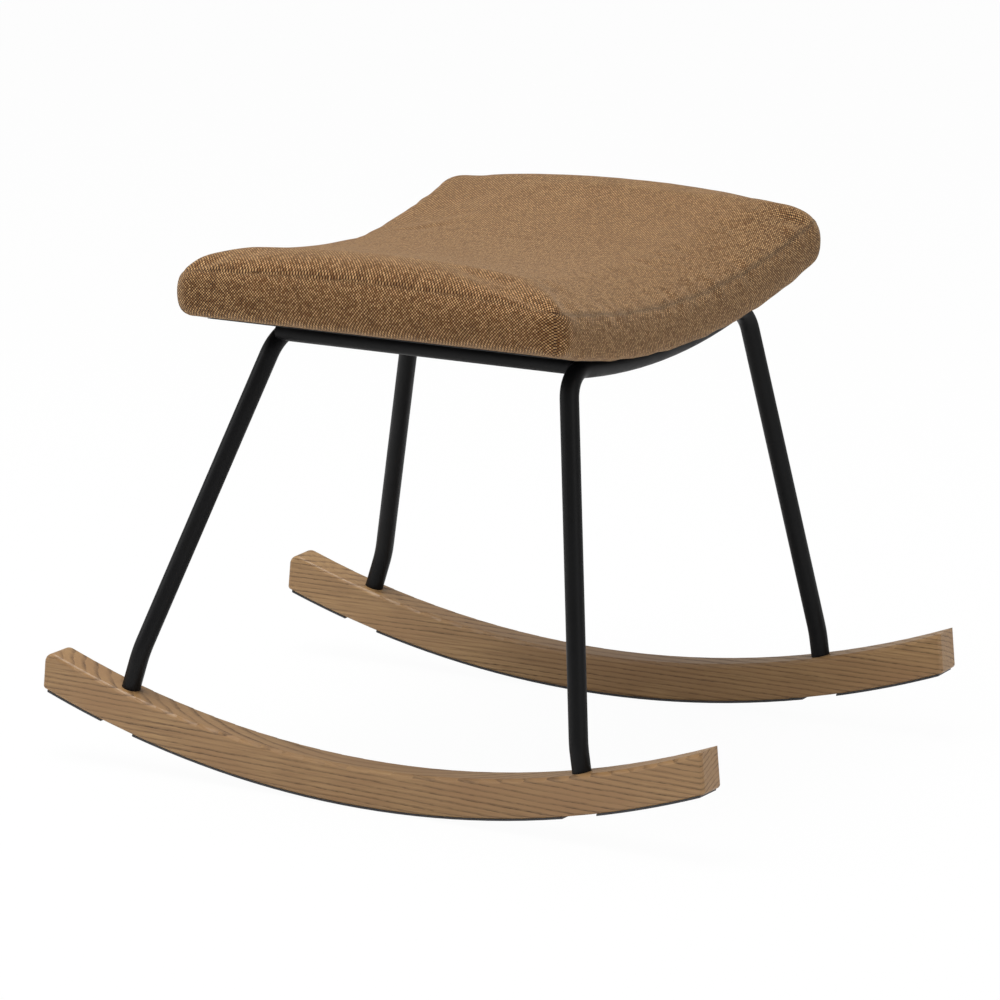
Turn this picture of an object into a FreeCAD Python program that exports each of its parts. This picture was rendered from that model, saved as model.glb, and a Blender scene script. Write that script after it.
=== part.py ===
import FreeCAD, Part
import math
import os

from FreeCAD import Placement, Rotation, Vector
from Sketcher import Constraint

# Rocking footstool. Millimetres. Origin on the floor below the middle, X along the
# rockers, Y across them, Z up. The -X end is the one with the raked legs.

doc = FreeCAD.newDocument("rocking_footstool")
sheet = doc.addObject("Spreadsheet::Sheet", "Sizes")

SIZES = {
    # Rockers: concentric arcs, standing a little apart towards +X
    "rock_radius": 868.0,
    "rock_depth": 31.2,
    "rock_width": 27.7,
    "rock_half_length": 302.5,
    "rock_end_slope": 2.8,
    "rock_spacing": 392.7,
    "rock_toe": 1.686,
    "rock_edge_round": 3.0,
    "rock_nose_round": 8.0,
    # Felt glides below the rockers
    "glide_thick": 1.5,
    "glide_width": 25.0,
    "glide_gap": 30.0,
    "glide_short": 4.0,
    # Bent tube hoops
    "tube_radius": 7.5,
    "tube_wall": 1.5,
    "bend_top": 24.0,
    "bend_foot": 60.0,
    "left_foot_x": -223.0,
    "left_base_x": -246.2,
    "left_lean": 17.60,
    "left_base_y": 220.4,
    "left_splay": 0.3248,
    "right_foot_x": 188.9,
    "right_base_x": 196.1,
    "right_lean": 8.29,
    "right_base_y": 216.9,
    "right_splay": 0.2028,
    "rail_y": 107.0,
    # Foot joints: socket, plug in the tube end, bolt from below
    "socket_depth": 11.0,
    "socket_slack": 0.15,
    "plug_length": 18.0,
    "bolt_radius": 3.0,
    "bolt_slack": 0.3,
    "bolt_grip": 14.0,
    "head_radius": 5.0,
    "head_height": 5.0,
    "key_radius": 2.9,
    "key_depth": 2.5,
    "bore_radius": 7.5,
    "bore_depth": 9.0,
    "washer_radius": 6.5,
    "washer_thick": 1.2,
    # Seat: cradle profile across Y, extruded and crowned along X
    "seat_x_left": -165.0,
    "seat_x_right": 173.0,
    "seat_half_depth": 212.0,
    "seat_taper": 0.03,
    "cradle_base": 348.7,
    "cradle_rise": 25.4,
    "cradle_lip": 2.1,
    "cradle_span": 210.0,
    "border_height": 37.5,
    "seam_rise": 26.9,
    "seam_lip": -2.6,
    "seam_bow": 6.5,
    "panel_rise": 10.0,
    "panel_crown": 11.0,
    "corner_round": 13.0,
    "border_bulge": 5.0,
    "cloth": 1.8,
    "soft_gap": 0.3,
    "seam_gap": 0.4,
    "hem": 22.0,
    "board_thick": 10.0,
    "board_inset": 9.0,
    "board_corner": 10.0,
    "dust_thick": 0.6,
    "dust_inset": 9.0,
    "dust_corner": 24.0,
    "dust_gap": 0.1,
    # Seat fixings
    "tab_y": 70.0,
    "tab_width": 26.0,
    "tab_length": 42.0,
    "tab_thick": 3.0,
    "tab_corner": 8.0,
    "screw_inset": 30.0,
    "screw_radius": 3.0,
    "screw_head_radius": 5.5,
    "screw_head_height": 3.3,
    "screw_head_bevel": 1.4,
    "insert_radius": 4.5,
    "insert_length": 8.0,
}
for row, (alias, value) in enumerate(SIZES.items(), start=1):
    sheet.set("A%d" % row, alias)
    sheet.set("B%d" % row, str(value))
    sheet.setAlias("B%d" % row, alias)
doc.recompute()


def size(alias):
    return float(sheet.get(alias))


def feature(label, shape, placement=None):
    """A finished piece made from a computed shape, placed after it has the shape."""
    piece = doc.addObject("Part::Feature", label)
    piece.Label = label
    piece.Shape = shape
    if placement is not None:
        piece.Placement = placement
    return piece


# Frames of the rockers and hoops

ROCKERS = {"front": -1, "back": 1}
HOOPS = {"left": 1, "right": -1}


def rocker_frame(side):
    """The rocker's own frame: its middle on the floor, turned by its toe."""
    turn = Rotation(Vector(0, 0, 1), side * size("rock_toe"))
    return Placement(Vector(0, side * size("rock_spacing") / 2, 0), turn)


def rocker_y(x):
    return size("rock_spacing") / 2 + x * math.tan(math.radians(size("rock_toe")))


def hoop_frame(name):
    """Plane of a hoop: local Y across the stool, local Z up along the leaning plane."""
    lean = HOOPS[name] * size(name + "_lean")
    return Placement(Vector(size(name + "_base_x"), 0, 0), Rotation(Vector(0, 1, 0), lean))


def foot_axis(name, side):
    """Placement of a foot on top of its rocker, local Z up along the tube."""
    x = size(name + "_foot_x")
    frame = hoop_frame(name)
    top_radius = size("rock_radius") - size("glide_thick") - size("rock_depth")
    z = size("rock_radius") - math.sqrt(top_radius ** 2 - x ** 2)
    local = frame.inverse().multVec(Vector(x, side * rocker_y(x), z))
    return frame.multiply(Placement(Vector(0, local.y, local.z), Rotation()))


def cylinder_at(axis, radius, low, high):
    """A cylinder along a foot or screw axis between two heights on that axis."""
    body = Part.makeCylinder(radius, high - low, Vector(0, 0, low))
    body.Placement = axis
    return body


# Rockers

def arc_height(radius, x):
    return size("rock_radius") - math.sqrt(radius ** 2 - x ** 2)


def make_rocker(name, side):
    body = doc.addObject("PartDesign::Body", "rocker_" + name)
    body.Label = "rocker_" + name
    body.Placement = rocker_frame(side)
    plane = [f for f in body.Origin.OriginFeatures if f.Role == "XZ_Plane"][0]
    sketch = body.newObject("Sketcher::SketchObject", "side_" + name)
    sketch.AttachmentSupport = [(plane, "")]
    sketch.MapMode = "FlatFace"

    low_radius = size("rock_radius") - size("glide_thick")
    top_radius = low_radius - size("rock_depth")
    low_x = size("rock_half_length")
    top_x = low_x - size("rock_end_slope")
    centre = Vector(0, size("rock_radius"), 0)
    across = Vector(0, 0, 1)
    corners = {}
    for key, radius, x in (("low", low_radius, low_x), ("top", top_radius, top_x)):
        half = math.asin(x / radius)
        circle = Part.Circle(centre, across, radius)
        sketch.addGeometry(Part.ArcOfCircle(circle, -math.pi / 2 - half, -math.pi / 2 + half))
        corners[key] = (Vector(-x, arc_height(radius, x), 0), Vector(x, arc_height(radius, x), 0))
    for end in (0, 1):
        sketch.addGeometry(Part.LineSegment(corners["low"][end], corners["top"][end]))

    sketch.addConstraint(Constraint("Coincident", 0, 3, 1, 3))
    sketch.addConstraint(Constraint("PointOnObject", 0, 3, -2))
    for end in (0, 1):
        sketch.addConstraint(Constraint("Coincident", 2 + end, 1, 0, 1 + end))
        sketch.addConstraint(Constraint("Coincident", 2 + end, 2, 1, 1 + end))
    driven = (
        (Constraint("DistanceY", -1, 1, 0, 3, size("rock_radius")), "Sizes.rock_radius"),
        (Constraint("Radius", 0, low_radius), "Sizes.rock_radius - Sizes.glide_thick"),
        (Constraint("Radius", 1, top_radius), "Sizes.rock_radius - Sizes.glide_thick - Sizes.rock_depth"),
        (Constraint("DistanceX", -1, 1, 0, 2, low_x), "Sizes.rock_half_length"),
        (Constraint("DistanceX", 0, 1, -1, 1, low_x), "Sizes.rock_half_length"),
        (Constraint("DistanceX", -1, 1, 1, 2, top_x), "Sizes.rock_half_length - Sizes.rock_end_slope"),
        (Constraint("DistanceX", 1, 1, -1, 1, top_x), "Sizes.rock_half_length - Sizes.rock_end_slope"),
    )
    for rule, expression in driven:
        index = sketch.addConstraint(rule)
        sketch.setExpression("Constraints[%d]" % index, expression)

    pad = body.newObject("PartDesign::Pad", "slab_" + name)
    pad.Profile = sketch
    pad.Midplane = True
    pad.setExpression("Length", "Sizes.rock_width")
    doc.recompute()

    def add_fillet(suffix, base, radius_alias, wanted):
        names = ["Edge%d" % i for i, e in enumerate(base.Shape.Edges, start=1) if wanted(e)]
        fillet = body.newObject("PartDesign::Fillet", suffix + name)
        fillet.Base = (base, names)
        fillet.setExpression("Radius", "Sizes." + radius_alias)
        doc.recompute()
        return fillet

    def local_box(edge):
        moved = edge.copy()
        moved.Placement = body.Placement.inverse().multiply(moved.Placement)
        return moved.BoundBox

    top_z = arc_height(top_radius, top_x)
    nose = add_fillet("nose_", pad, "rock_nose_round",
                      lambda e: e.BoundBox.XMax < -top_x + 1 and e.BoundBox.ZLength < 0.1
                      and e.BoundBox.ZMin > top_z - 1)
    half_depth_z = size("rock_depth") / 2
    low_edges = add_fillet("low_edges_", nose, "rock_edge_round",
                           lambda e: e.BoundBox.YLength < 0.1 and e.BoundBox.ZMin < half_depth_z)
    add_fillet("edges_", low_edges, "rock_edge_round",
               lambda e: e.BoundBox.YLength < 0.1 and e.BoundBox.ZMin > half_depth_z)

    for hoop in HOOPS:
        axis = body.Placement.inverse().multiply(foot_axis(hoop, side))
        floor_to_top = size("rock_depth")
        cuts = (
            ("socket", size("tube_radius") + size("socket_slack"), -size("socket_depth"), 12.0),
            ("bolt", size("bolt_radius") + size("bolt_slack"), -floor_to_top - 5.0, 0.0),
            ("bore", size("bore_radius"), -floor_to_top - 12.0, -floor_to_top + size("bore_depth")),
        )
        for kind, radius, low, high in cuts:
            hole = body.newObject("PartDesign::SubtractiveCylinder", "%s_%s_%s" % (kind, hoop, name))
            hole.Radius = radius
            hole.Height = high - low
            hole.Placement = axis.multiply(Placement(Vector(0, 0, low), Rotation()))
    doc.recompute()
    return body


rockers = {name: make_rocker(name, side) for name, side in ROCKERS.items()}


# Felt glides: three strips below each rocker, open below the feet

def strip_shape(x_low, x_high):
    outer = size("rock_radius")
    inner = outer - size("glide_thick")

    def point(radius, x):
        return Vector(x, 0, outer - math.sqrt(radius ** 2 - x ** 2))

    middle = (x_low + x_high) / 2
    edges = [
        Part.Arc(point(outer, x_low), point(outer, middle), point(outer, x_high)).toShape(),
        Part.makeLine(point(outer, x_high), point(inner, x_high)),
        Part.Arc(point(inner, x_high), point(inner, middle), point(inner, x_low)).toShape(),
        Part.makeLine(point(inner, x_low), point(outer, x_low)),
    ]
    face = Part.Face(Part.Wire(edges))
    face.translate(Vector(0, -size("glide_width") / 2, 0))
    return face.extrude(Vector(0, size("glide_width"), 0))


glide_end = size("rock_half_length") - size("glide_short")
half_gap = size("glide_gap") / 2


def bolt_x(name):
    """Where a foot bolt comes out below its rocker."""
    lean = math.radians(HOOPS[name] * size(name + "_lean"))
    return size(name + "_foot_x") - size("rock_depth") * math.sin(lean)


glide_spans = {
    "left": (-glide_end, bolt_x("left") - half_gap),
    "middle": (bolt_x("left") + half_gap, bolt_x("right") - half_gap),
    "right": (bolt_x("right") + half_gap, glide_end),
}
for rocker_name, rocker_side in ROCKERS.items():
    for part_name, span in glide_spans.items():
        feature("glide_%s_%s" % (rocker_name, part_name), strip_shape(*span), rocker_frame(rocker_side))


# Cradle profile of the seat

def across(y):
    return (y / size("cradle_span")) ** 2


def cradle_height(y):
    q = across(y)
    return size("cradle_base") + size("cradle_rise") * q + size("cradle_lip") * q * q


def along(x):
    """One in the middle of the seat, zero at its left and right edges."""
    middle = (size("seat_x_left") + size("seat_x_right")) / 2
    half = (size("seat_x_right") - size("seat_x_left")) / 2
    return 1.0 - ((x - middle) / half) ** 2


def seam_height(x, y):
    q = across(y)
    bow = size("seam_bow") * along(x) * min(1.0, q)
    edge = size("cradle_base") + size("border_height")
    return edge + size("seam_rise") * q + size("seam_lip") * q * q + bow


def half_depth(x):
    return size("seat_half_depth") + size("seat_taper") * x


def spline(points):
    curve = Part.BSplineCurve()
    curve.interpolate(points)
    return curve.toShape()


# Hoops: foot, leg, bend, cradled bar, bend, leg, foot

# The frame's top face lies this far below the cradle curve, just clear of the dust cover
frame_drop = size("dust_thick") + size("dust_gap") + size("soft_gap")


def bar_height(y):
    return cradle_height(y) - frame_drop - size("tube_radius")


def rounded(before, corner, after, radius):
    """The two tangent points and the middle point of an arc that rounds a corner."""
    to_before = (before - corner).normalize()
    to_after = (after - corner).normalize()
    half = to_before.getAngle(to_after) / 2
    reach = radius / math.tan(half)
    inward = (to_before + to_after).normalize()
    centre = corner + inward * (radius / math.sin(half))
    return corner + to_before * reach, centre - inward * radius, corner + to_after * reach


def hoop_path(name, start_depth):
    """Centre line of a hoop in its own plane, from one foot to the other."""
    cosine = math.cos(math.radians(size(name + "_lean")))
    foot_y = rocker_y(size(name + "_foot_x"))
    foot = foot_axis(name, 1)
    foot_z = hoop_frame(name).inverse().multVec(foot.Base).z
    base_y = size(name + "_base_y")
    splay = size(name + "_splay")

    knee = Vector(0, foot_y, (base_y - foot_y) / splay / cosine)
    arc_end_y = (base_y - splay * size("cradle_base")) - 1.4 * size("bend_top")
    arc_end = Vector(0, arc_end_y, bar_height(arc_end_y) / cosine)
    step = 1.0
    slope = (bar_height(arc_end_y + step) - bar_height(arc_end_y)) / step / cosine
    leg_slope = -splay * cosine
    # Where the bar's end tangent meets the straight leg
    top_z = (arc_end.z + slope * (base_y - arc_end.y)) / (1.0 - slope * leg_slope)
    shoulder = Vector(0, base_y + leg_slope * top_z, top_z)

    start = Vector(0, foot_y, foot_z - start_depth)
    knee_a, knee_m, knee_b = rounded(start, knee, shoulder, size("bend_foot"))
    top_a, top_m, top_b = rounded(knee, shoulder, arc_end, size("bend_top"))

    def mirror(v):
        return Vector(v.x, -v.y, v.z)

    half = [
        Part.makeLine(start, knee_a),
        Part.Arc(knee_a, knee_m, knee_b).toShape(),
        Part.makeLine(knee_b, top_a),
        Part.Arc(top_a, top_m, top_b).toShape(),
        Part.makeLine(top_b, arc_end),
    ]
    other = [
        Part.makeLine(mirror(arc_end), mirror(top_b)),
        Part.Arc(mirror(top_b), mirror(top_m), mirror(top_a)).toShape(),
        Part.makeLine(mirror(top_a), mirror(knee_b)),
        Part.Arc(mirror(knee_b), mirror(knee_m), mirror(knee_a)).toShape(),
        Part.makeLine(mirror(knee_a), mirror(start)),
    ]
    bar = Part.Arc(arc_end, Vector(0, 0, bar_height(0) / cosine), mirror(arc_end)).toShape()
    return Part.Wire(half + [bar] + other)


def sweep(path, radius):
    """A round bar along lines and arcs: a cylinder or a turned disc for each of them."""
    runs = []
    for edge in path.Edges:
        first, last = edge.ParameterRange
        start = edge.valueAt(first)
        heading = edge.tangentAt(first)
        if isinstance(edge.Curve, Part.Circle):
            disc = Part.Face(Part.Wire(Part.makeCircle(radius, start, heading)))
            runs.append(disc.revolve(edge.Curve.Center, edge.Curve.Axis, math.degrees(last - first)))
        else:
            runs.append(Part.makeCylinder(radius, edge.Length, start, heading))
    return runs[0].multiFuse(runs[1:], 0.001)


hoop_cores = {}
hoops = {}
for hoop_name in HOOPS:
    centre_line = hoop_path(hoop_name, size("socket_depth") - 0.05)
    solid_tube = sweep(centre_line, size("tube_radius"))
    bore = sweep(centre_line, size("tube_radius") - size("tube_wall"))
    hoops[hoop_name] = feature("hoop_" + hoop_name, solid_tube.cut(bore), hoop_frame(hoop_name))
    core = solid_tube.copy()
    core.Placement = hoop_frame(hoop_name)
    hoop_cores[hoop_name] = core


# Rails: straight tubes along X, coped to the hoops

def hoop_x(name, z):
    return size(name + "_base_x") + HOOPS[name] * z * math.tan(math.radians(size(name + "_lean")))


for rail_name, rail_side in ROCKERS.items():
    rail_z = bar_height(size("rail_y"))
    rail_from = hoop_x("left", rail_z)
    rail_to = hoop_x("right", rail_z)
    rail_start = Vector(rail_from, rail_side * size("rail_y"), rail_z)
    rail = Part.makeCylinder(size("tube_radius"), rail_to - rail_from, rail_start, Vector(1, 0, 0))
    inner_radius = size("tube_radius") - size("tube_wall")
    hollow = Part.makeCylinder(inner_radius, rail_to - rail_from, rail_start, Vector(1, 0, 0))
    rail = rail.cut(hollow).cut(hoop_cores["left"]).cut(hoop_cores["right"])
    rail = max(rail.Solids, key=lambda s: s.Volume)
    feature("rail_" + rail_name, rail)


# Foot joints: threaded plug in each tube end, bolt and washer from below

plugs = []
bolts = []
washers = []
for hoop_name in HOOPS:
    for rocker_side in ROCKERS.values():
        axis = foot_axis(hoop_name, rocker_side)
        tube_end = -size("socket_depth") + 0.05
        plug = cylinder_at(axis, size("tube_radius") - size("tube_wall") - 0.02,
                           tube_end, tube_end + size("plug_length"))
        seat_level = -size("rock_depth") + size("bore_depth")
        head_level = seat_level - size("washer_thick") - 0.02
        bolt_top = seat_level + size("bolt_grip") + 6.0
        shank = cylinder_at(axis, size("bolt_radius"), head_level, bolt_top)
        head = cylinder_at(axis, size("head_radius"), head_level - size("head_height"), head_level)
        key = []
        for angle in range(0, 361, 60):
            spoke = Rotation(Vector(0, 0, 1), angle).multVec(Vector(size("key_radius"), 0, 0))
            key.append(spoke + Vector(0, 0, head_level - size("head_height")))
        socket = Part.Face(Part.makePolygon(key)).extrude(Vector(0, 0, size("key_depth")))
        socket.Placement = axis
        washer = cylinder_at(axis, size("washer_radius"), seat_level - size("washer_thick"), seat_level)
        hole = cylinder_at(axis, size("bolt_radius") + 0.05, -60.0, bolt_top + 0.5)
        plugs.append(plug.cut(hole))
        washers.append(washer.cut(hole))
        bolts.append(shank.fuse(head).cut(socket).removeSplitter())
feature("foot_plugs", Part.makeCompound(plugs))
feature("foot_bolts", Part.makeCompound(bolts))
feature("foot_washers", Part.makeCompound(washers))


# Seat tabs below the seat, one at each quarter, with screws and inserts

def across_slope(y):
    return math.degrees(math.atan((cradle_height(y + 1) - cradle_height(y - 1)) / 2))


def tab_frame(name, side):
    """Top face of a tab: local X towards the middle of the seat, local Z up."""
    y = side * size("tab_y")
    x = hoop_x(name, bar_height(y))
    z = cradle_height(y) - frame_drop
    turn = Rotation(Vector(1, 0, 0), across_slope(y))
    if name == "right":
        turn = turn.multiply(Rotation(Vector(0, 0, 1), 180))
    return Placement(Vector(x, y, z), turn)


tabs = []
screws = []
inserts = []
screw_axes = []
insert_base = frame_drop + size("cloth") + size("soft_gap") + 1.4
for hoop_name in HOOPS:
    for rocker_side in ROCKERS.values():
        frame = tab_frame(hoop_name, rocker_side)
        plate = Part.makeBox(size("tab_length"), size("tab_width"), size("tab_thick"),
                             Vector(0, -size("tab_width") / 2, -size("tab_thick")))
        corners = [e for e in plate.Edges if e.BoundBox.ZLength > 1 and e.BoundBox.XMin > 1]
        plate = plate.makeFillet(size("tab_corner"), corners)
        plate.Placement = frame
        axis = frame.multiply(Placement(Vector(size("screw_inset"), 0, 0), Rotation()))
        screw_axes.append(axis)
        plate = plate.cut(cylinder_at(axis, size("screw_radius") + 0.2, -10, 10))
        plate = plate.cut(hoop_cores[hoop_name])
        tabs.append(max(plate.Solids, key=lambda s: s.Volume))
        shank_top = insert_base + size("insert_length") - 1.0
        shank = cylinder_at(axis, size("screw_radius"), -size("tab_thick") - 0.02, shank_top)
        head_top = -size("tab_thick") - 0.02
        head = cylinder_at(axis, size("screw_head_radius"), head_top - size("screw_head_height"), head_top)
        rim = [e for e in head.Edges if abs(e.Length - 2 * math.pi * size("screw_head_radius")) < 0.1]
        head = head.makeChamfer(size("screw_head_bevel"), [min(rim, key=lambda e: e.CenterOfMass.z)])
        screws.append(shank.fuse(head).removeSplitter())
        sleeve = cylinder_at(axis, size("insert_radius"), insert_base, insert_base + size("insert_length"))
        inserts.append(sleeve.cut(cylinder_at(axis, size("screw_radius") + 0.05, 0, 2 * shank_top)))
feature("seat_tabs", Part.makeCompound(tabs))
feature("seat_screws", Part.makeCompound(screws))
feature("seat_inserts", Part.makeCompound(inserts))


def cradle_band(low, high):
    """A slab that follows the cradle curve, wider and longer than the seat."""
    wide = 1.2 * size("seat_half_depth")
    ys = [-wide + 2 * wide * i / 8 for i in range(9)]
    x = 1.2 * size("seat_x_left")
    bottom = [Vector(x, y, cradle_height(y) + low) for y in ys]
    top = [Vector(x, y, cradle_height(y) + high) for y in ys]
    edges = [
        spline(bottom),
        Part.makeLine(bottom[-1], top[-1]),
        spline(list(reversed(top))),
        Part.makeLine(top[0], bottom[0]),
    ]
    return Part.Face(Part.Wire(edges)).extrude(Vector(1.2 * size("seat_x_right") - x, 0, 0))


def plan_prism(inset, corner_radius):
    """An upright prism on the seat's plan outline, drawn in by inset."""
    left = size("seat_x_left") + inset
    right = size("seat_x_right") - inset
    a = half_depth(left) - inset
    b = half_depth(right) - inset
    points = [Vector(left, -a, 0), Vector(right, -b, 0), Vector(right, b, 0), Vector(left, a, 0)]
    height = 2 * size("cradle_base")
    prism = Part.Face(Part.makePolygon(points + points[:1])).extrude(Vector(0, 0, height))
    return prism.makeFillet(corner_radius, [e for e in prism.Edges if e.BoundBox.ZLength > height / 2])


# Skin of the seat: patches with common edges. Each side path runs between two corner
# seams: half a rounded corner, the straight side, half a rounded corner.

def side_path(side, out, seam_shift):
    """Plan points along one side, moved outward by out, short of its corner seams.

    A path moved in past the corner's centre keeps a small round and draws its corners in.
    """
    reach = max(size("corner_round") + out, 1.0)
    drawn_in = reach - out
    left = size("seat_x_left") + drawn_in
    right = size("seat_x_right") - drawn_in
    deep_left = half_depth(size("seat_x_left")) - drawn_in
    deep_right = half_depth(size("seat_x_right")) - drawn_in
    start, finish, facing, flip = {
        "front": ((left, -deep_left), (right, -deep_right), 270, 1),
        "back": ((left, deep_left), (right, deep_right), 90, -1),
        "left": ((left, -deep_left), (left, deep_left), 180, -1),
        "right": ((right, -deep_right), (right, deep_right), 0, 1),
    }[side]
    trim = math.degrees(seam_shift / reach)
    turns = (-45 + trim, -22, 0)
    points = []

    def pole(base, angle):
        a = math.radians(angle)
        points.append(Vector(base[0] + reach * math.cos(a), base[1] + reach * math.sin(a), 0))

    for turn in turns:
        pole(start, facing + flip * turn)
    for step in range(6):
        share = 0.1 + 0.16 * step
        base = [start[n] + share * (finish[n] - start[n]) for n in (0, 1)]
        pole(base, facing)
    for turn in reversed(turns):
        pole(finish, facing - flip * turn)
    return points


def settle(line, side="left"):
    """Lowers a line's inner poles so that its curve, not the poles, lies on the cradle.

    Lines along the front and back lie at one height and stay as they are.
    """
    if side in ("front", "back"):
        return line
    bend = size("cradle_rise") / size("cradle_span") ** 2
    settled = list(line)
    for i in range(1, len(line) - 1):
        before = line[i].y - line[i - 1].y
        after = line[i + 1].y - line[i].y
        drop = bend * ((before ** 2 + after ** 2) / 6 - (after - before) ** 2 / 36)
        settled[i] = line[i] - Vector(0, 0, drop)
    return settled


def patch(grid):
    """A surface on a net of poles, straight between two rows; edges follow from edge poles."""
    surface = Part.BSplineSurface()
    degrees = []
    knots = []
    mults = []
    for count in (len(grid), len(grid[0])):
        degree = 1 if count == 2 else 3
        spans = count - degree
        degrees.append(degree)
        knots.append([float(n) for n in range(spans + 1)])
        mults.append([degree + 1] + [1] * (spans - 1) + [degree + 1])
    surface.buildFromPolesMultsKnots(grid, mults[0], mults[1], knots[0], knots[1], False, False, *degrees)
    return surface.toShape()


def closed(faces):
    sewn = Part.makeShell(faces)
    sewn.sewShape(0.01)
    body = Part.makeSolid(sewn)
    if body.Volume < 0:
        body.reverse()
    return body


def between(outer_nets, inner_nets):
    """A cloth panel between nets joined row to row, closed along its edges."""
    rims = [(outer_nets[0][0], inner_nets[0][0]), (outer_nets[-1][-1], inner_nets[-1][-1])]
    faces = []
    for outer, inner in zip(outer_nets, inner_nets):
        faces += [patch(outer), patch(inner)]
        for end in (0, -1):
            rims.append(([row[end] for row in outer], [row[end] for row in inner]))
    return closed(faces + [patch(rim) for rim in rims])


# Border section from the seam down and under: outward, share of the border height
BORDER_ROWS = ((0.10, 1.0), (0.85, 0.82), (1.35, 0.50), (0.80, 0.16), (-0.2, 0.0))


def border_net(side, inset, seam_shift, corner_shift, rows=BORDER_ROWS):
    net = []
    for out, share in rows:
        line = []
        for p in side_path(side, out * size("border_bulge") - inset, corner_shift):
            low = cradle_height(p.y)
            high = seam_height(p.x, p.y) - seam_shift
            line.append(Vector(p.x, p.y, low + share * (high - low) + inset * (1 - share)))
        net.append(settle(line, side))
    return net


def border_nets(side, inset):
    """The border's band, from the seam down, and the hem turned under it."""
    band = border_net(side, inset, half_seam, half_seam)
    path = side_path(side, -size("hem"), half_seam)
    hem = [Vector(p.x, p.y, cradle_height(p.y) + inset) for p in path]
    return band, [band[-1], settle(hem, side)]


def spread(front, back, left, right):
    """A net between four side paths, moved in evenly from all of them."""
    last = len(front) - 1
    net = []
    for i in range(last + 1):
        u = fraction(front, i)
        line = []
        for j in range(last + 1):
            v = fraction(left, j)
            a = front[i] * (1 - v) + back[i] * v
            b = left[j] * (1 - u) + right[j] * u
            c = (front[0] * (1 - u) + front[last] * u) * (1 - v) + (back[0] * (1 - u) + back[last] * u) * v
            line.append(a + b - c)
        net.append(line)
    return net


def fraction(path, index):
    whole = (path[-1] - path[0]).Length
    return (path[index] - path[0]).dot(path[-1] - path[0]) / whole / whole


def panel_net(inset, seam_shift, out):
    paths = [side_path(side, out, 0.0) for side in ("front", "back", "left", "right")]
    net = spread(*paths)
    last = len(net) - 1
    lift = (0.0, 0.66, 0.94) + (1.0,) * len(net)
    for i, line in enumerate(net):
        for j, p in enumerate(line):
            share = lift[min(i, last - i)] * lift[min(j, last - j)]
            crown = size("panel_crown") * max(0.0, along(p.x)) * (1 - 0.25 * across(p.y))
            rise = (size("panel_rise") + crown) * share
            edge = 0.0 if share == 0.0 else inset
            line[j] = Vector(p.x, p.y, seam_height(p.x, p.y) + seam_shift + rise - edge)
        net[i] = settle(line)
    return net


SIDES = ("front", "back", "left", "right")
half_seam = size("seam_gap") / 2
cloth = size("cloth")
seam_out = BORDER_ROWS[0][0] * size("border_bulge")
feature("cover_top", between([panel_net(0.0, half_seam, seam_out)],
                             [panel_net(cloth, half_seam, seam_out - cloth)]))
for border_side in SIDES:
    feature("cover_" + border_side, between(border_nets(border_side, 0.0), border_nets(border_side, cloth)))


# Foam: under the cover with a little room, down to the board

lined = cloth + 2 * size("soft_gap")
board_low = cloth + size("soft_gap") + 0.2
board_top = board_low + size("board_thick")
foam_low = board_top + size("soft_gap")
foam_rows = ((0.10, 1.0),)
foam_faces = [patch(panel_net(lined, 0.0, seam_out - lined))]
foam_feet = []
for border_side in SIDES:
    net = border_net(border_side, lined, 0.0, 0.0, foam_rows)
    path = side_path(border_side, 0.9 * size("border_bulge") - lined, 0.0)
    foot = settle([Vector(p.x, p.y, cradle_height(p.y) + foam_low) for p in path], border_side)
    foam_feet.append(foot)
    foam_faces.append(patch(net + [foot]))
bottom = spread(*foam_feet)
for i, line in enumerate(bottom[1:-1], start=1):
    bottom[i] = settle([Vector(p.x, p.y, cradle_height(p.y) + foam_low) for p in line])
foam_faces.append(patch(bottom))
feature("seat_foam", closed(foam_faces))


# Board: a moulded sheet on the cradle curve, with the threaded inserts let in

board = cradle_band(board_low, board_top).common(plan_prism(size("board_inset"), size("board_corner")))
for axis in screw_axes:
    insert_top = insert_base + size("insert_length")
    board = board.cut(cylinder_at(axis, size("insert_radius") + 0.02, insert_base, insert_top))
    board = board.cut(cylinder_at(axis, size("screw_radius") + 0.4, -10, insert_base + 0.5))
feature("seat_board", board)


# Dust cover below the hems

dust_top = -size("dust_gap")
dust = cradle_band(dust_top - size("dust_thick"), dust_top)
dust = dust.common(plan_prism(size("dust_inset"), size("dust_corner")))
for axis in screw_axes:
    dust = dust.cut(cylinder_at(axis, size("screw_radius") + 0.5, -10, 10))
feature("dust_cover", dust)

doc.recompute()


# Write every piece, once all of them are sound

os.makedirs("parts", exist_ok=True)
pieces = [o for o in doc.Objects if o.TypeId in ("PartDesign::Body", "Part::Feature") and o.Label == o.Name]
for item in doc.Objects:
    if "Invalid" in item.State or "Error" in item.State:
        raise RuntimeError("%s: %s" % (item.Name, item.State))
for piece in pieces:
    if piece.Shape.isNull() or not piece.Shape.isValid() or piece.Shape.Volume <= 0:
        raise RuntimeError("%s has no sound solid" % piece.Label)
for piece in pieces:
    piece.Shape.exportStep("parts/%s.step" % piece.Label)
    box = piece.Shape.optimalBoundingBox(False)
    print("%-20s solids %d volume %.0f  x %.1f %.1f  y %.1f %.1f  z %.1f %.1f" % (
        piece.Label, len(piece.Shape.Solids), piece.Shape.Volume,
        box.XMin, box.XMax, box.YMin, box.YMax, box.ZMin, box.ZMax))
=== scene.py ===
import math

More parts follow.
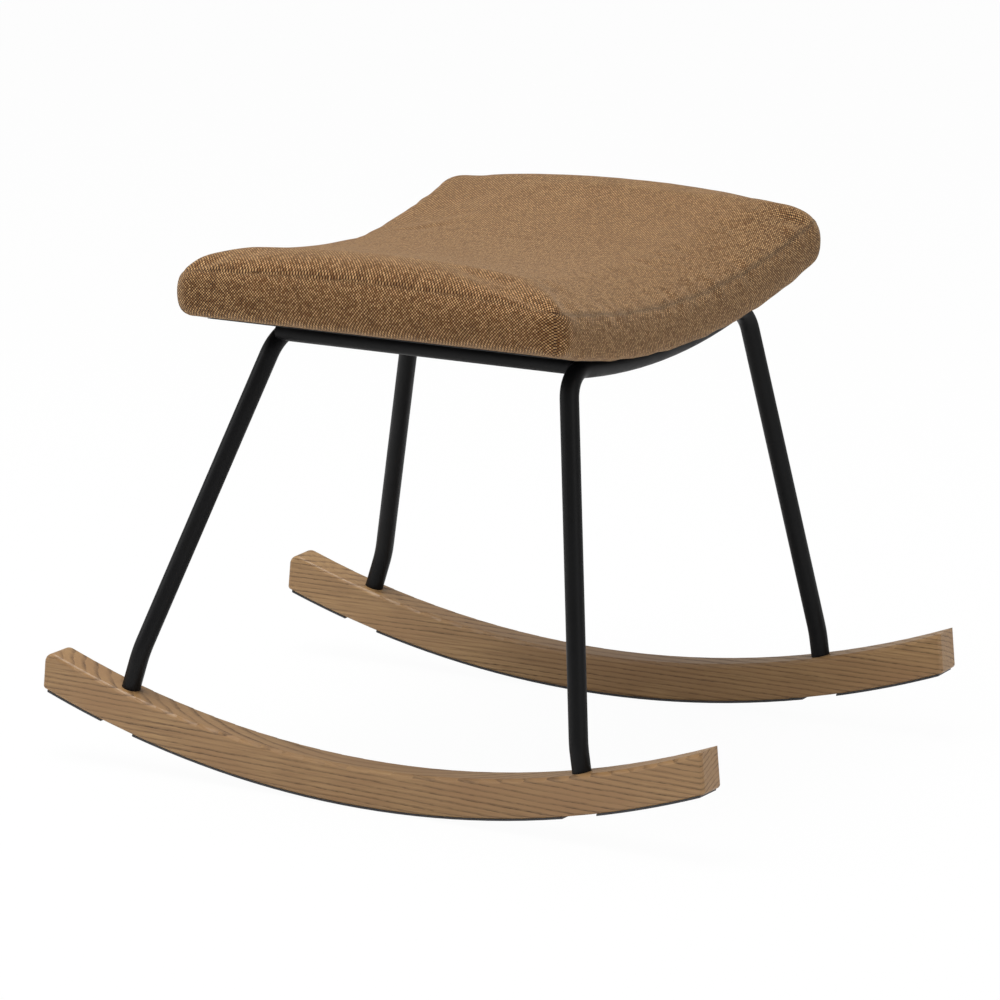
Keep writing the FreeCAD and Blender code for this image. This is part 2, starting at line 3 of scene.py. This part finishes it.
import bpy
import numpy as np
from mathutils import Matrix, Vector


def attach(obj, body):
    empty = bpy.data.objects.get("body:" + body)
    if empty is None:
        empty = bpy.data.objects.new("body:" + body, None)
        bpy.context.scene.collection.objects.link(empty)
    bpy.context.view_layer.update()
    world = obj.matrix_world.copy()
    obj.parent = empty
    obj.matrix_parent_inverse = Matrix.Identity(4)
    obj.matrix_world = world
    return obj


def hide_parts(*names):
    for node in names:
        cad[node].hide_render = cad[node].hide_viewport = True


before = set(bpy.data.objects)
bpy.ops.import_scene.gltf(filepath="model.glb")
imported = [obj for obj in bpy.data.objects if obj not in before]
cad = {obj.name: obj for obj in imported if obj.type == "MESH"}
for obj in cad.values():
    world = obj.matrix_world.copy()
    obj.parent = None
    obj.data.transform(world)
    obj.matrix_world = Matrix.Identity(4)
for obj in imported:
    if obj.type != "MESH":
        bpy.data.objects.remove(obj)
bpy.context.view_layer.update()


# Rockers. Two curved runners sawn from solid ash, edges rounded, stained warm brown and
# sealed satin. The boards' straight growth rings run out where the saw's curve crosses
# them; the open pores of each ring's early wood hold the stain and show darker.

RING_WIDTH = 0.0039
# The middle of the tree's rings: from the stool's middle plane, and its height
HEART_ACROSS = 0.150
HEART_HEIGHT = -0.070
# Slow and fine unevenness of the rings, in rings
RING_WANDER = 2.2
RING_JAGS = 0.40


def linear(hex_code):
    """An sRGB hex colour as the linear values that sockets take."""
    shares = [int(hex_code[n:n + 2], 16) / 255 for n in (1, 3, 5)]
    return (*[s / 12.92 if s <= 0.04045 else ((s + 0.055) / 1.055) ** 2.4 for s in shares], 1.0)


def put(material, kind, sockets=None, **settings):
    """Adds a shader node; sockets holds values, or outputs to link, by name or number."""
    made = material.node_tree.nodes.new("ShaderNode" + kind)
    for name, value in settings.items():
        setattr(made, name, value)
    for name, value in (sockets or {}).items():
        if isinstance(value, bpy.types.NodeSocket):
            material.node_tree.links.new(value, made.inputs[name])
        else:
            made.inputs[name].default_value = value
    if not made.outputs:
        return None
    return made.outputs[2 if kind == "Mix" else 0]


def new_material(name):
    """An empty material and its Object coordinates."""
    material = bpy.data.materials.new(name)
    material.use_nodes = True
    material.node_tree.nodes.clear()
    return material, put(material, "TexCoord").node.outputs["Object"]


def give(names, material):
    """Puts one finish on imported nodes."""
    for name in names:
        cad[name].data.materials.clear()
        cad[name].data.materials.append(material)


ash, place = new_material("stained_ash_satin")
apart = put(ash, "SeparateXYZ", {0: place}).node.outputs
across = put(ash, "Math", {0: apart["Y"]}, operation="ABSOLUTE")
across = put(ash, "Math", {0: across, 1: HEART_ACROSS}, operation="SUBTRACT")
across = put(ash, "Math", {0: across, 1: across}, operation="MULTIPLY")
height = put(ash, "Math", {0: apart["Z"], 1: HEART_HEIGHT}, operation="SUBTRACT")
height = put(ash, "Math", {0: height, 1: height}, operation="MULTIPLY")
radius = put(ash, "Math", {0: across, 1: height}, operation="ADD")
radius = put(ash, "Math", {0: radius}, operation="SQRT")
rings = put(ash, "Math", {0: radius, 1: RING_WIDTH}, operation="DIVIDE")

# Grain runs along X, so every pattern is stretched that way: features per metre
GRAIN = {
    "wander": ((1.6, 9.0, 9.0), 2.0),
    "jags": ((38.0, 170.0, 170.0), 2.0),
    "vigour": ((4.0, 110.0, 110.0), 2.0),
    "pores": ((150.0, 2200.0, 2200.0), 2.0),
    "fibre": ((18.0, 700.0, 700.0), 3.0),
    "clouds": ((9.0, 25.0, 25.0), 2.0)}
grain = {}
for name, (stretch, detail) in GRAIN.items():
    space = put(ash, "Mapping", {"Vector": place, "Scale": stretch})
    grain[name] = put(ash, "TexNoise", {"Vector": space, "Scale": 1.0, "Detail": detail})
rings = put(ash, "Math", {0: grain["wander"], 1: RING_WANDER, 2: rings}, operation="MULTIPLY_ADD")
rings = put(ash, "Math", {0: grain["jags"], 1: RING_JAGS, 2: rings}, operation="MULTIPLY_ADD")
year = put(ash, "Math", {0: rings}, operation="FRACT")

# Early wood starts sharply and fades out over a third of the ring
starts = put(ash, "MapRange", {0: year, 1: 0.0, 2: 0.06, 3: 0.0, 4: 1.0})
fades = put(ash, "MapRange", {0: year, 1: 0.14, 2: 0.46, 3: 1.0, 4: 0.0})
vigour = put(ash, "MapRange", {0: grain["vigour"], 1: 0.35, 2: 0.65, 3: 0.35, 4: 1.0})
pores = put(ash, "MapRange", {0: grain["pores"], 1: 0.45, 2: 0.62, 3: 0.45, 4: 1.0})
early = put(ash, "Math", {0: starts, 1: fades}, operation="MULTIPLY")
early = put(ash, "Math", {0: early, 1: vigour}, operation="MULTIPLY")
stained = put(ash, "Math", {0: early, 1: pores}, operation="MULTIPLY")
smooth = put(ash, "Math", {0: 1.0, 1: stained}, operation="SUBTRACT")
fibre = put(ash, "MapRange", {0: grain["fibre"], 1: 0.3, 2: 0.7, 3: 0.0, 4: 1.0})
clouds = put(ash, "MapRange", {0: grain["clouds"], 1: 0.3, 2: 0.7, 3: 0.0, 4: 1.0})

wood = put(ash, "Mix", {0: fibre, 6: linear("#8b6a44"), 7: linear("#ab885b")}, data_type="RGBA")
wood = put(ash, "Mix", {0: clouds, 6: wood, 7: linear("#947049")}, data_type="RGBA")
wood = put(ash, "Mix", {0: stained, 6: wood, 7: linear("#452e19")}, data_type="RGBA")
put(ash, "OutputMaterial", {"Surface": put(ash, "BsdfPrincipled", {
    "Base Color": wood, "IOR": 1.5,
    "Roughness": put(ash, "MapRange", {0: stained, 1: 0.0, 2: 1.0, 3: 0.42, 4: 0.62}),
    "Normal": put(ash, "Bump", {"Strength": 0.25, "Distance": 0.0002, "Height": smooth})})})
give(("rocker_front", "rocker_back"), ash)


# Glides. Pressed wool felt strips glued below each rocker, cut back around the bolts.
# Charcoal fibres lie every way, so the face is matt and slightly clouded.

felt, place = new_material("charcoal_pressed_felt")
fibres = put(felt, "TexNoise", {"Vector": place, "Scale": 1400.0, "Detail": 4.0})
tone = put(felt, "MapRange", {0: fibres, 1: 0.3, 2: 0.7, 3: 0.0, 4: 1.0})
put(felt, "OutputMaterial", {"Surface": put(felt, "BsdfPrincipled", {
    "Base Color": put(felt, "Mix", {0: tone, 6: linear("#26262a"), 7: linear("#4a4a4c")}, data_type="RGBA"),
    "Roughness": 0.95, "Sheen Weight": 0.3,
    "Normal": put(felt, "Bump", {"Strength": 0.6, "Distance": 0.0004, "Height": fibres})})})
give([name for name in cad if name.startswith("glide_")], felt)


# Frame. Two bent 15 mm steel tube hoops, two rails and four seat tabs, welded and powder
# coated black. The coat is satin-matt with a fine orange peel that softens highlights.

coat, place = new_material("black_powder_coat")
peel = put(coat, "TexNoise", {"Vector": place, "Scale": 900.0, "Detail": 2.0})
patchy = put(coat, "TexNoise", {"Vector": place, "Scale": 60.0, "Detail": 2.0})
put(coat, "OutputMaterial", {"Surface": put(coat, "BsdfPrincipled", {
    "Base Color": put(coat, "Mix", {0: patchy, 6: linear("#0a0a0b"), 7: linear("#101011")}, data_type="RGBA"),
    "Roughness": put(coat, "MapRange", {0: patchy, 1: 0.3, 2: 0.7, 3: 0.42, 4: 0.50}),
    "IOR": 1.5, "Specular IOR Level": 0.16,
    "Normal": put(coat, "Bump", {"Strength": 0.15, "Distance": 0.0001, "Height": peel})})})
give(("hoop_left", "hoop_right", "rail_front", "rail_back", "seat_tabs"), coat)


# Fasteners. Zinc plated steel: bolts, washers and threaded plugs at the feet, screws and
# inserts at the seat. Thin plating over turned steel looks grey, slightly blue and satin.

zinc, place = new_material("zinc_plated_steel")
plated = put(zinc, "TexNoise", {"Vector": place, "Scale": 500.0, "Detail": 3.0})
put(zinc, "OutputMaterial", {"Surface": put(zinc, "BsdfPrincipled", {
    "Base Color": put(zinc, "Mix", {0: plated, 6: linear("#a9acb0"), 7: linear("#c6c8ca")}, data_type="RGBA"),
    "Metallic": 1.0,
    "Roughness": put(zinc, "MapRange", {0: plated, 1: 0.3, 2: 0.7, 3: 0.28, 4: 0.42})})})
give(("foot_plugs", "foot_bolts", "foot_washers", "seat_screws", "seat_inserts"), zinc)


# Board and dust cover. A moulded birch plywood board carries the pad; below it a black
# spunbonded cloth, stapled on, hides the hems. The cloth is thin, dull and flecked.

birch, place = new_material("birch_plywood")
space = put(birch, "Mapping", {"Vector": place, "Scale": (10.0, 160.0, 10.0)})
flame = put(birch, "TexNoise", {"Vector": space, "Scale": 1.0, "Detail": 3.0})
put(birch, "OutputMaterial", {"Surface": put(birch, "BsdfPrincipled", {
    "Base Color": put(birch, "Mix", {0: flame, 6: linear("#c9a878"), 7: linear("#dcc297")}, data_type="RGBA"),
    "Roughness": 0.6})})
give(("seat_board",), birch)

spunbond, place = new_material("black_spunbonded_cloth")
flecks = put(spunbond, "TexNoise", {"Vector": place, "Scale": 700.0, "Detail": 3.0})
dull = put(spunbond, "Mix", {0: flecks, 6: linear("#0d0d0e"), 7: linear("#242426")}, data_type="RGBA")
put(spunbond, "OutputMaterial", {"Surface": put(spunbond, "BsdfPrincipled", {
    "Base Color": dull, "Roughness": 0.85,
    "Normal": put(spunbond, "Bump", {"Strength": 0.4, "Distance": 0.0003, "Height": flecks})})})
give(("dust_cover",), spunbond)


# Cushion. A crowned top panel and four border bands of one woven cloth, sewn over a foam
# pad with plain seams, then drawn down and turned under the board. The seams pull the
# cloth in and pucker it; the pad swells it between them.

SEAT_X = (-0.165, 0.173)
SEAT_MIDDLE = sum(SEAT_X) / 2
HALF_X = (SEAT_X[1] - SEAT_X[0]) / 2
HALF_Y = 0.212
CRADLE_HALF = 0.210
TAPER = 0.03
CORNER = 0.013
BULGE = 0.0068
BORDER = 0.0375
HEM = 0.022
CLOTH = 0.0018
BOARD_GAP = 0.0082
BOARD_TOP = 0.0128

# Grid: step over the panel, and lines that crowd towards the seams, metres in from each side
STEP = 0.0055
NEAR_SEAM = (0.0, 0.0008, 0.002, 0.004, 0.0068, 0.0098, 0.013)
# The border's section: outward as a share of the bulge, share of its height
SECTION = ((0.35, 1.0), (0.46, 0.975), (0.62, 0.93), (0.82, 0.86), (0.97, 0.77), (1.06, 0.67),
           (1.10, 0.57), (1.10, 0.47), (1.07, 0.37), (1.00, 0.28), (0.87, 0.19), (0.64, 0.11),
           (0.25, 0.045), (-0.5, 0.0))
HEM_ROWS = 5
BOARD_ROWS = 3
# The crown: rise at the seams' side of the panel, more at its middle, eased off the seam
CROWN = 0.0145
CROWN_MIDDLE = 0.0075
LIFT_WIDTH = 0.021
SWELL = 0.98


def grid_lines(half):
    """Positions of the grid lines from one side of the seat to the other."""
    inner = half - NEAR_SEAM[-1]
    count = 2 * round(inner / STEP)
    middle = [-inner + 2 * inner * n / count for n in range(1, count)]
    side = [half - d for d in NEAR_SEAM]
    return np.array([-p for p in side] + middle + side[::-1])


def cradle(y):
    """Height of the cover's lowest line, where it meets the board."""
    q = (y / CRADLE_HALF) ** 2
    return 0.3487 + 0.0254 * q + 0.0021 * q ** 2


def along(x):
    """1 at the middle of the seat's length, 0 at its ends."""
    return 1 - ((x - SEAT_MIDDLE) / HALF_X) ** 2


def seam_line(x, y):
    """Height of the seam between panel and border."""
    q = (y / CRADLE_HALF) ** 2
    return 0.3862 + 0.0269 * q - 0.0026 * q ** 2 + 0.0065 * along(x) * np.minimum(1, q)


def plan(out):
    """Plan position of each vertex with the outline moved outward by out, corners round."""
    reach = np.maximum(CORNER + out, 0.001)
    core_x = HALF_X - (reach - out)
    core_y = HALF_Y - (reach - out)
    fit_x = flat_x / (HALF_X - CORNER)
    fit_y = flat_y / (HALF_Y - CORNER)
    over_x = np.clip((np.abs(flat_x) - (HALF_X - CORNER)) / CORNER, 0, 1)
    over_y = np.clip((np.abs(flat_y) - (HALF_Y - CORNER)) / CORNER, 0, 1)
    round_x = over_x * np.sqrt(1 - over_y ** 2 / 2)
    round_y = over_y * np.sqrt(1 - over_x ** 2 / 2)
    x = np.clip(fit_x, -1, 1) * core_x + np.sign(flat_x) * round_x * reach
    y = np.clip(fit_y, -1, 1) * core_y + np.sign(flat_y) * round_y * reach
    x = x + SEAT_MIDDLE
    return x, y * (1 + TAPER * x / HALF_Y)


def lift(distance):
    """Rise of the panel from its seam, as a share."""
    return 1 - (1 - np.clip(distance / LIFT_WIDTH, 0, 1)) ** 2.6


# Rings below the seam: outward, share of the border's height, height above the cradle
rings_out = [(out * BULGE, share, 0.0) for out, share in SECTION[1:]]
fold = -SECTION[-1][0] * BULGE
rings_out += [(-fold - (HEM - fold) * n / HEM_ROWS, 0.0, 0.0) for n in range(1, HEM_ROWS + 1)]
rings_out += [(-HEM, 0.0, CLOTH)]
rings_out += [(-HEM + (HEM - BOARD_GAP) * n / BOARD_ROWS, 0.0, CLOTH) for n in range(1, BOARD_ROWS + 1)]
rings_out += [(-BOARD_GAP, 0.0, (CLOTH + BOARD_TOP) / 2), (-BOARD_GAP, 0.0, BOARD_TOP)]
last_border = len(SECTION) - 1

x_lines = grid_lines(HALF_X)
y_lines = grid_lines(HALF_Y)
bpy.ops.object.select_all(action="DESELECT")
bpy.ops.mesh.primitive_grid_add(x_subdivisions=len(x_lines) - 1, y_subdivisions=len(y_lines) - 1, size=2)
cushion = bpy.context.object
cushion.name = "seat_cushion"
bpy.ops.object.mode_set(mode="EDIT")
bpy.ops.mesh.select_all(action="SELECT")
for ring in rings_out:
    bpy.ops.mesh.extrude_region_move(TRANSFORM_OT_translate={"value": (0, 0, -1)})
bpy.ops.mesh.select_all(action="SELECT")
bpy.ops.mesh.normals_make_consistent(inside=False)
bpy.ops.object.mode_set(mode="OBJECT")

# Each vertex's place on the flat panel, its ring, and its side: 0 front, 1 right, 2 back, 3 left
raw = np.empty(len(cushion.data.vertices) * 3)
cushion.data.vertices.foreach_get("co", raw)
raw = raw.reshape(-1, 3)
flat_x = x_lines[np.rint((raw[:, 0] + 1) / 2 * (len(x_lines) - 1)).astype(int)]
flat_y = y_lines[np.rint((raw[:, 1] + 1) / 2 * (len(y_lines) - 1)).astype(int)]
level = np.rint(-raw[:, 2]).astype(int)
top = level == 0
to_x = HALF_X - np.abs(flat_x)
to_y = HALF_Y - np.abs(flat_y)
on_end = to_x < to_y
run = np.where(on_end, flat_y, flat_x)
side = np.where(on_end, np.where(flat_x < 0, 3, 1), np.where(flat_y < 0, 0, 2))

# The panel's left side has a low place behind its middle, as the photograph's outline shows
x, y = plan(np.full(len(raw), SECTION[0][0] * BULGE))
crown = CROWN + CROWN_MIDDLE * np.maximum(0, along(x)) * (1 - 0.25 * (y / CRADLE_HALF) ** 2)
crown -= 0.0065 * np.exp(-((x - SEAT_X[0]) / 0.06) ** 2 - ((y - 0.075) / 0.080) ** 2)
points = np.zeros_like(raw)
points[top] = np.column_stack([x, y, seam_line(x, y) + SWELL * crown * (lift(to_x) * lift(to_y))])[top]
for number, (out, share, above) in enumerate(rings_out, start=1):
    here = level == number
    x, y = plan(np.full(len(raw), out))
    z = cradle(y) + share * (seam_line(x, y) - cradle(y)) + above
    points[here] = np.column_stack([x, y, z])[here]
cushion.data.vertices.foreach_set("co", points.ravel())
cushion.data.update()

# Seams and hem hold the cloth; the rest swells over the pad, by 4.5 mm at most
held = (top & (np.minimum(to_x, to_y) < 1e-6)) | (level >= last_border - 1)
cushion.vertex_groups.new(name="held").add(np.nonzero(held)[0].tolist(), 1.0, "REPLACE")
bpy.context.view_layer.objects.active = cushion
swelling = cushion.modifiers.new("swelling", "CLOTH")
swelling.settings.quality = 6
swelling.settings.mass = 0.3
swelling.settings.tension_stiffness = 12
swelling.settings.compression_stiffness = 12
swelling.settings.shear_stiffness = 6
swelling.settings.bending_stiffness = 0.4
swelling.settings.use_pressure = True
swelling.settings.uniform_pressure_force = 4.0
swelling.settings.vertex_group_mass = "held"
swelling.settings.effector_weights.gravity = 0
swelling.point_cache.frame_start = 1
swelling.point_cache.frame_end = 20
for moment in range(1, 21):
    bpy.context.scene.frame_set(moment)
shown = cushion.evaluated_get(bpy.context.evaluated_depsgraph_get())
swollen = np.empty(len(points) * 3)
shown.data.vertices.foreach_get("co", swollen)
moved = swollen.reshape(-1, 3) - points
cushion.modifiers.remove(swelling)
bpy.context.scene.frame_set(1)
limit = 0.0045
distance = np.linalg.norm(moved, axis=1, keepdims=True)
points = points + moved * np.where(distance > limit, limit / np.maximum(distance, 1e-9), 1.0)
cushion.data.vertices.foreach_set("co", points.ravel())
cushion.data.update()

# The thread pulls the right side most, then the left, and the long sides least
PULL = np.array([0.55, 1.0, 0.55, 0.9])
chance = np.random.default_rng(7)


def ripples(lengths, strengths):
    """Uneven waves along the seams, different on each side of the seat."""
    total = np.zeros_like(run)
    for length, strength in zip(lengths, strengths):
        for n in range(4):
            phase, stretch = chance.uniform(0, 2 * math.pi), chance.uniform(0.8, 1.25)
            wave = strength * np.sin(2 * math.pi * run / (length * stretch) + phase)
            total += np.where(side == n, wave, 0)
    return total


def fading(distance, width):
    """1 at no distance, falling off over the width."""
    return np.exp(-(distance / width) ** 2)


# Puckers beside the seam, the groove along it, and its own sway up and down
normals = np.empty(len(points) * 3)
cushion.data.vertices.foreach_get("normal", normals)
normals = normals.reshape(-1, 3)
drop = np.zeros(len(points))
for number, (out, share, above) in enumerate(rings_out, start=1):
    drop[level == number] = (1 - share) * BORDER if number <= last_border else 0.05
from_seam = np.where(top, np.minimum(to_x, to_y), drop)
on_cover = top | (level < last_border)
pucker = ripples((0.034, 0.021, 0.013, 0.008), (0.5, 0.5, 0.35, 0.2))
pucker = 0.00055 * pucker * fading(from_seam, 0.009) * PULL[side] * (1 - fading(from_seam, 0.0015))
groove = -0.0006 * fading(from_seam, 0.0013)
sway = 0.0006 * ripples((0.030, 0.055), (0.6, 0.6)) * fading(from_seam, 0.012)
points = points + normals * np.where(on_cover, pucker + groove, 0)[:, None]
points[:, 2] += np.where(on_cover, sway * PULL[side], 0)

# The low edge wavers where it is drawn under; corner seams run down the borders
low_edge = fading(drop - BORDER, 0.008) * (~top) * (level <= last_border)
points[:, 2] += 0.0006 * ripples((0.045, 0.027), (0.7, 0.5)) * low_edge
corner_seam = (np.abs(to_x - to_y) < 1e-4) & (level > 0) & (level < last_border)
points = points - normals * (0.0006 * corner_seam)[:, None]
cushion.data.vertices.foreach_set("co", points.ravel())

# The weave's place on each panel, in metres: borders lie end to end beside the top
mesh = cushion.data
corners = np.empty(len(mesh.loops), dtype=int)
mesh.loops.foreach_get("vertex_index", corners)
faces = corners.reshape(-1, 4)
middle_x = flat_x[faces].mean(axis=1)
middle_y = flat_y[faces].mean(axis=1)
face_end = HALF_X - np.abs(middle_x) < HALF_Y - np.abs(middle_y)
face_side = np.where(face_end, np.where(middle_x < 0, 3, 1), np.where(middle_y < 0, 0, 2))
loop_top = np.repeat(top[faces].all(axis=1), 4)
loop_side = np.repeat(face_side, 4)
loop_run = np.where(loop_side % 2 == 1, flat_y[corners], flat_x[corners])
u = np.where(loop_top, points[corners, 0], loop_run + 0.0137 * loop_side)
v = np.where(loop_top, points[corners, 1], drop[corners] + 0.6 + 0.0211 * loop_side)
mesh.uv_layers.new(name="weave").data.foreach_set("uv", np.column_stack([u, v]).ravel())

# Painted shade along the seam's crease: faint at the front, strong at the right; the corner seams get painted
# shade too
CREASE_SHADE_BY_SIDE = np.array([0.25, 0.65, 0.4, 0.3])
painted_seam_shade = np.where(on_cover, fading(from_seam, 0.0012), 0) * CREASE_SHADE_BY_SIDE[side]
painted_seam_shade = np.maximum(painted_seam_shade, 0.3 * corner_seam)
# Stored on the mesh as painted shade for the cloth's colour
mesh.attributes.new("painted_crease_shade", "FLOAT", "POINT").data.foreach_set("value", painted_seam_shade)

bpy.ops.object.select_all(action="DESELECT")
cushion.select_set(True)
bpy.context.view_layer.objects.active = cushion
rounding = cushion.modifiers.new("rounding", "SUBSURF")
rounding.levels = 1
rounding.render_levels = 1
bpy.ops.object.modifier_apply(modifier=rounding.name)
bpy.ops.object.shade_smooth()

# Cover cloth: a plain weave of light and dark brown yarns, slubby and matt. The yarns are
# about 1 mm thick and drawn a little coarser, so that their checks show.
YARN = 0.0013
cloth, place = new_material("two_tone_brown_weave")
uv = put(cloth, "UVMap", uv_map="weave")

# Threads wander a little off their straight lines
threads = put(cloth, "Mapping", {"Vector": uv, "Scale": (1 / YARN, 1 / YARN, 1.0)})
slack = put(cloth, "TexNoise", {"Vector": threads, "Scale": 0.35, "Detail": 2.0}).node.outputs["Color"]
bend = put(cloth, "VectorMath", {0: slack, 1: (0.5, 0.5, 0.5)}, operation="SUBTRACT")
threads = put(cloth, "VectorMath", {0: bend, 1: (0.7, 0.7, 0.0), 2: threads}, operation="MULTIPLY_ADD")
checks = put(cloth, "TexChecker", {
    "Vector": threads, "Color1": (1, 1, 1, 1), "Color2": (0, 0, 0, 1), "Scale": 1.0})
apart = put(cloth, "SeparateXYZ", {0: threads}).node.outputs
off_middle = []
for axis in (0, 1):
    part = put(cloth, "Math", {0: apart[axis]}, operation="FRACT")
    part = put(cloth, "Math", {0: part, 1: 0.5}, operation="SUBTRACT")
    off_middle.append(put(cloth, "Math", {0: part}, operation="ABSOLUTE"))
edge = put(cloth, "Math", dict(enumerate(off_middle)), operation="MAXIMUM")
round_yarn = put(cloth, "MapRange", {0: edge, 1: 0.22, 2: 0.5, 3: 1.0, 4: 0.0})
relief = put(cloth, "Math", {0: checks, 1: 0.4, 2: round_yarn}, operation="MULTIPLY_ADD")

# Each light yarn crossing has its own tone; dark yarns are streaked along their length
cell = put(cloth, "VectorMath", {0: threads}, operation="FLOOR")
mottle = put(cloth, "TexWhiteNoise", {"Vector": cell}, noise_dimensions="3D")
space = put(cloth, "Mapping", {"Vector": uv, "Scale": (700.0, 60.0, 1.0)})
streak = put(cloth, "TexNoise", {"Vector": space, "Scale": 1.0, "Detail": 2.0})
streak = put(cloth, "MapRange", {0: streak, 1: 0.35, 2: 0.65, 3: 0.0, 4: 1.0})
light_yarn = put(cloth, "Mix", {0: mottle, 6: linear("#85592c"), 7: linear("#d6a973")}, data_type="RGBA")
dark_yarn = put(cloth, "Mix", {0: streak, 6: linear("#261003"), 7: linear("#4f2c10")}, data_type="RGBA")
pattern = put(cloth, "Mix", {0: checks, 6: dark_yarn, 7: light_yarn}, data_type="RGBA")

# Painted shade darkens the gaps between yarns and the seams' creases; broad clouds and dark slubs are the
# cloth's own tone
broad = put(cloth, "TexNoise", {"Vector": uv, "Scale": 60.0, "Detail": 3.0})
broad = put(cloth, "MapRange", {0: broad, 1: 0.3, 2: 0.7, 3: 0.0, 4: 1.0})
slub = put(cloth, "TexNoise", {"Vector": uv, "Scale": 420.0, "Detail": 1.0})
slub = put(cloth, "MapRange", {0: slub, 1: 0.66, 2: 0.74, 3: 0.0, 4: 1.0})
# Painted shade along the seams' creases, read from the mesh
painted_crease_shade = put(cloth, "Attribute", attribute_name="painted_crease_shade").node.outputs["Fac"]
# Painted shade: each yarn darkens towards its edges, where the gaps between yarns are shaded
painted_shade_and_tone = put(cloth, "Math", {0: round_yarn, 1: 0.55, 2: 0.45}, operation="MULTIPLY_ADD")
for cause, least, most in ((broad, 0.95, 1.04), (slub, 1.0, 0.55), (painted_crease_shade, 1.0, 0.25)):
    share = put(cloth, "MapRange", {0: cause, 1: 0.0, 2: 1.0, 3: least, 4: most})
    painted_shade_and_tone = put(cloth, "Math", {0: painted_shade_and_tone, 1: share}, operation="MULTIPLY")
shade_and_tone_grey = put(cloth, "CombineColor", {0: painted_shade_and_tone, 1: painted_shade_and_tone, 2: painted_shade_and_tone})
coloured = put(cloth, "Mix", {0: 1.0, 6: pattern, 7: shade_and_tone_grey}, data_type="RGBA", blend_type="MULTIPLY")
put(cloth, "OutputMaterial", {"Surface": put(cloth, "BsdfPrincipled", {
    "Base Color": coloured, "Roughness": 0.9, "Specular IOR Level": 0.25,
    "Sheen Weight": 0.42, "Sheen Roughness": 0.45, "Sheen Tint": linear("#e0c6a6"),
    "Normal": put(cloth, "Bump", {"Strength": 0.5, "Distance": 0.0003, "Height": relief})})})
cushion.data.materials.clear()
cushion.data.materials.append(cloth)
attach(cushion, "root")
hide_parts("cover_top", "cover_front", "cover_back", "cover_left", "cover_right", "seat_foam")


# Stage. A pale studio sweep below the stool, seen as near white, a broad soft light above
# and a weaker one from each side; the background is plain white.

bpy.ops.object.select_all(action="DESELECT")
bpy.ops.mesh.primitive_plane_add(size=30, location=(0, 0, -0.0004))
floor = bpy.context.object
floor.name = "studio_floor"
paper, place = new_material("studio_paper")
camera_ray = put(paper, "LightPath").node.outputs["Is Camera Ray"]
share = put(paper, "Math", {0: camera_ray, 1: 0.965}, operation="MULTIPLY")
diffuse = put(paper, "BsdfDiffuse", {"Color": (0.85, 0.85, 0.85, 1)})
glow = put(paper, "Emission", {"Color": (1, 1, 1, 1), "Strength": 1.0})
put(paper, "OutputMaterial", {"Surface": put(paper, "MixShader", {0: share, 1: diffuse, 2: glow})})
floor.data.materials.append(paper)

for name, place, aim, width, power in (
        ("light_above", (-0.4, -0.35, 2.6), (0, 0, 0.3), 1.8, 62),
        ("light_right", (2.6, -0.9, 1.3), (0, 0, 0.2), 1.2, 11),
        ("light_left", (-2.8, -1.4, 1.2), (0, 0, 0.2), 0.9, 14)):
    bpy.ops.object.light_add(type="AREA", location=place)
    lamp = bpy.context.object
    lamp.name = name
    lamp.data.shape = "SQUARE"
    lamp.data.size = width
    lamp.data.energy = power
    lamp.rotation_euler = (Vector(aim) - Vector(place)).to_track_quat("-Z", "Y").to_euler()

# The sky lights the object weakly and is seen as plain white
SKY_LIGHT = 0.44
world = bpy.data.worlds.new("studio")
bpy.context.scene.world = world
world.use_nodes = True
world.node_tree.nodes.clear()
rays = put(world, "LightPath").node.outputs
seen = {0: rays["Is Camera Ray"], 1: rays["Is Transmission Ray"]}
seen = put(world, "Math", seen, operation="MAXIMUM")
strength = put(world, "MapRange", {0: seen, 1: 0.0, 2: 1.0, 3: SKY_LIGHT, 4: 1.0})
sky = put(world, "Background", {"Color": (1, 1, 1, 1), "Strength": strength})
put(world, "OutputWorld", {"Surface": sky})

bpy.context.scene.view_settings.view_transform = "Standard"


# Camera. It stands at the photograph's place with the photograph's angle of view: far off
# with a long lens, so that the rockers stay nearly parallel.

camera_place = Vector((2.507, -4.438, 1.408))
camera_aim = Vector((0.0027, 0.0, 0.2040))
bpy.ops.object.camera_add(location=camera_place)
camera = bpy.context.object
camera.name = "photo_camera"
camera.rotation_euler = (camera_aim - camera_place).to_track_quat("-Z", "Y").to_euler()
camera.data.sensor_width = 36
camera.data.lens = 236.86
camera.data.clip_end = 60
bpy.context.scene.camera = camera
